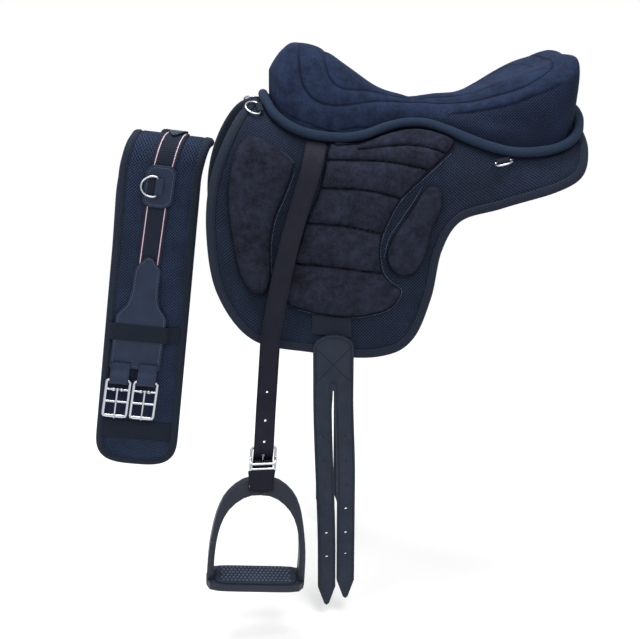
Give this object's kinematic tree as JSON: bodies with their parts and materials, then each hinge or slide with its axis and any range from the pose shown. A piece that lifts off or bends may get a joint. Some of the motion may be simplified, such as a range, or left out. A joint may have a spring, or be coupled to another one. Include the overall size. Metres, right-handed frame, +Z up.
{
  "type": "treeless riding saddle",
  "caption": "Treeless riding saddle with padded base, quilted flap cushions, stirrups on leathers, billets and a loose girth folded over beside it.",
  "frame": {"origin": "on the horse's back, under the middle of the base's spine, where the underside meets it", "axes": "-X towards the pommel and the horse's head, +Z up, -Y towards the near (left) side"},
  "size_m": [0.772, 0.4688, 0.8858],
  "materials": {
    "elastic": "matt fabric",
    "girth_leather": "matt grained leather",
    "leather": "matt grained leather",
    "mesh": "matt fabric",
    "piping": "matt fabric",
    "polymer": "satin moulded polymer",
    "rubber": "matt rubber",
    "seat_suede": "matt fabric",
    "steel": "polished stainless steel",
    "stiffener": "satin moulded polymer",
    "suede": "matt fabric",
    "webbing": "matt fabric"
  },
  "bodies": {
    "saddle": {"base_loop_tape": "webbing", "far_base_pad": "mesh", "far_billet_web": "webbing", "far_calf_block": "suede", "far_front_tab": "webbing", "far_knee_roll": "suede", "far_panel": "mesh", "far_rear_tab": "webbing", "far_thigh_panel": "suede", "near_base_pad": "mesh", "near_billet_web": "webbing", "near_calf_block": "suede", "near_front_tab": "webbing", "near_knee_roll": "suede", "near_panel": "mesh", "near_rear_tab": "webbing", "near_thigh_panel": "suede", "pommel_stiffener": "stiffener", "seat_cushion": "seat_suede", "seat_hook_tape": "webbing", "seat_piping": "piping", "spine_bridge": "mesh", "stirrup_web": "webbing"},
    "near_leather": {"near_leather": "leather", "near_leather_buckle": "steel", "near_leather_tongue": "steel"},
    "near_stirrup": {"near_stirrup": "polymer", "near_tread_pad": "rubber"},
    "near_billets": {"near_billets": "leather"},
    "near_front_dee": {"near_front_dee": "steel"},
    "near_rear_dee": {"near_rear_dee": "steel"},
    "far_leather": {"far_leather": "leather", "far_leather_buckle": "steel", "far_leather_tongue": "steel"},
    "far_stirrup": {"far_stirrup": "polymer", "far_tread_pad": "rubber"},
    "far_billets": {"far_billets": "leather"},
    "far_front_dee": {"far_front_dee": "steel"},
    "far_rear_dee": {"far_rear_dee": "steel"},
    "girth": {"girth_pad": "mesh", "girth_web": "elastic", "girth_patch": "girth_leather", "girth_dee_tab": "webbing", "far_girth_keeper_lower": "elastic", "far_girth_keeper_upper": "elastic", "far_girth_leather": "girth_leather", "near_girth_keeper_lower": "elastic", "near_girth_keeper_upper": "elastic", "near_girth_leather": "girth_leather"},
    "girth_dee": {"girth_dee": "steel"},
    "near_girth_buckle_front": {"near_girth_buckle_front": "steel"},
    "near_girth_tongue_front": {"near_girth_tongue_front": "steel"},
    "near_girth_buckle_rear": {"near_girth_buckle_rear": "steel"},
    "near_girth_tongue_rear": {"near_girth_tongue_rear": "steel"},
    "far_girth_buckle_front": {"far_girth_buckle_front": "steel"},
    "far_girth_tongue_front": {"far_girth_tongue_front": "steel"},
    "far_girth_buckle_rear": {"far_girth_buckle_rear": "steel"},
    "far_girth_tongue_rear": {"far_girth_tongue_rear": "steel"}
  },
  "joints": [
    {"name": "near_leather_swing", "type": "hinge", "parent": "saddle", "child": "near_leather", "pos_m": [-0.137, -0.08553, -0.02025], "axis": [0, 0.9848, -0.1736], "range_deg": [-15, 3]},
    {"name": "near_stirrup_swing", "type": "hinge", "parent": "near_leather", "child": "near_stirrup", "pos_m": [-0.232, -0.20073, -0.51365], "axis": [-0.9973, 0, 0.0732], "range_deg": [-4, 45]},
    {"name": "near_billet_swing", "type": "hinge", "parent": "saddle", "child": "near_billets", "pos_m": [-0.12, -0.14567, -0.29174], "axis": [-1, 0, 0], "range_deg": [0, 60]},
    {"name": "near_front_dee_swing", "type": "hinge", "parent": "saddle", "child": "near_front_dee", "pos_m": [-0.2215, -0.04666, 0.02727], "axis": [-0.1379, 0.8625, 0.4869], "range_deg": [0, 110]},
    {"name": "near_rear_dee_swing", "type": "hinge", "parent": "saddle", "child": "near_rear_dee", "pos_m": [0.14, -0.11385, -0.04737], "axis": [-0.9545, 0.1551, -0.2548], "range_deg": [-45, 45]},
    {"name": "far_leather_swing", "type": "hinge", "parent": "saddle", "child": "far_leather", "pos_m": [-0.137, 0.08553, -0.02025], "axis": [0, 0.9848, 0.1736], "range_deg": [-9, 12]},
    {"name": "far_stirrup_swing", "type": "hinge", "parent": "far_leather", "child": "far_stirrup", "pos_m": [-0.151, 0.13856, -0.0865], "axis": [1, 0, 0], "range_deg": [0, 60]},
    {"name": "far_billet_swing", "type": "hinge", "parent": "saddle", "child": "far_billets", "pos_m": [-0.096, 0.14519, -0.29174], "axis": [1, 0, 0], "range_deg": [0, 60]},
    {"name": "far_front_dee_swing", "type": "hinge", "parent": "saddle", "child": "far_front_dee", "pos_m": [-0.2215, 0.04666, 0.02727], "axis": [0.1379, 0.8625, -0.4869], "range_deg": [0, 110]},
    {"name": "far_rear_dee_swing", "type": "hinge", "parent": "saddle", "child": "far_rear_dee", "pos_m": [0.14, 0.11385, -0.04737], "axis": [0.9545, 0.1551, 0.2548], "range_deg": [-45, 45]},
    {"name": "girth_lift", "type": "slide", "parent": "saddle", "child": "girth", "axis": [0, 0, 1], "range_m": [0, 0.12]},
    {"name": "girth_dee_swing", "type": "hinge", "parent": "girth", "child": "girth_dee", "pos_m": [-0.37855, -0.0478, -0.09016], "axis": [0.1759, 0, 0.9844], "range_deg": [0, 110]},
    {"name": "near_girth_buckle_front_swing", "type": "hinge", "parent": "girth", "child": "near_girth_buckle_front", "pos_m": [-0.4535, -0.0473, -0.40306], "axis": [-0.9914, 0, 0.1305], "range_deg": [0, 60]},
    {"name": "near_girth_tongue_front_swing", "type": "hinge", "parent": "near_girth_buckle_front", "child": "near_girth_tongue_front", "pos_m": [-0.4535, -0.0473, -0.40306], "axis": [-0.9914, 0, 0.1305], "range_deg": [0, 70]},
    {"name": "near_girth_buckle_rear_swing", "type": "hinge", "parent": "girth", "child": "near_girth_buckle_rear", "pos_m": [-0.41038, -0.0473, -0.40874], "axis": [-0.9914, 0, 0.1305], "range_deg": [0, 60]},
    {"name": "near_girth_tongue_rear_swing", "type": "hinge", "parent": "near_girth_buckle_rear", "child": "near_girth_tongue_rear", "pos_m": [-0.41038, -0.0473, -0.40874], "axis": [-0.9914, 0, 0.1305], "range_deg": [0, 70]},
    {"name": "far_girth_buckle_front_swing", "type": "hinge", "parent": "girth", "child": "far_girth_buckle_front", "pos_m": [-0.41674, 0.0473, -0.20315], "axis": [0.9914, 0, -0.1305], "range_deg": [0, 60]},
    {"name": "far_girth_tongue_front_swing", "type": "hinge", "parent": "far_girth_buckle_front", "child": "far_girth_tongue_front", "pos_m": [-0.41674, 0.0473, -0.20315], "axis": [0.9914, 0, -0.1305], "range_deg": [0, 70]},
    {"name": "far_girth_buckle_rear_swing", "type": "hinge", "parent": "girth", "child": "far_girth_buckle_rear", "pos_m": [-0.37361, 0.0473, -0.20882], "axis": [0.9914, 0, -0.1305], "range_deg": [0, 60]},
    {"name": "far_girth_tongue_rear_swing", "type": "hinge", "parent": "far_girth_buckle_rear", "child": "far_girth_tongue_rear", "pos_m": [-0.37361, 0.0473, -0.20882], "axis": [0.9914, 0, -0.1305], "range_deg": [0, 70]}
  ]
}
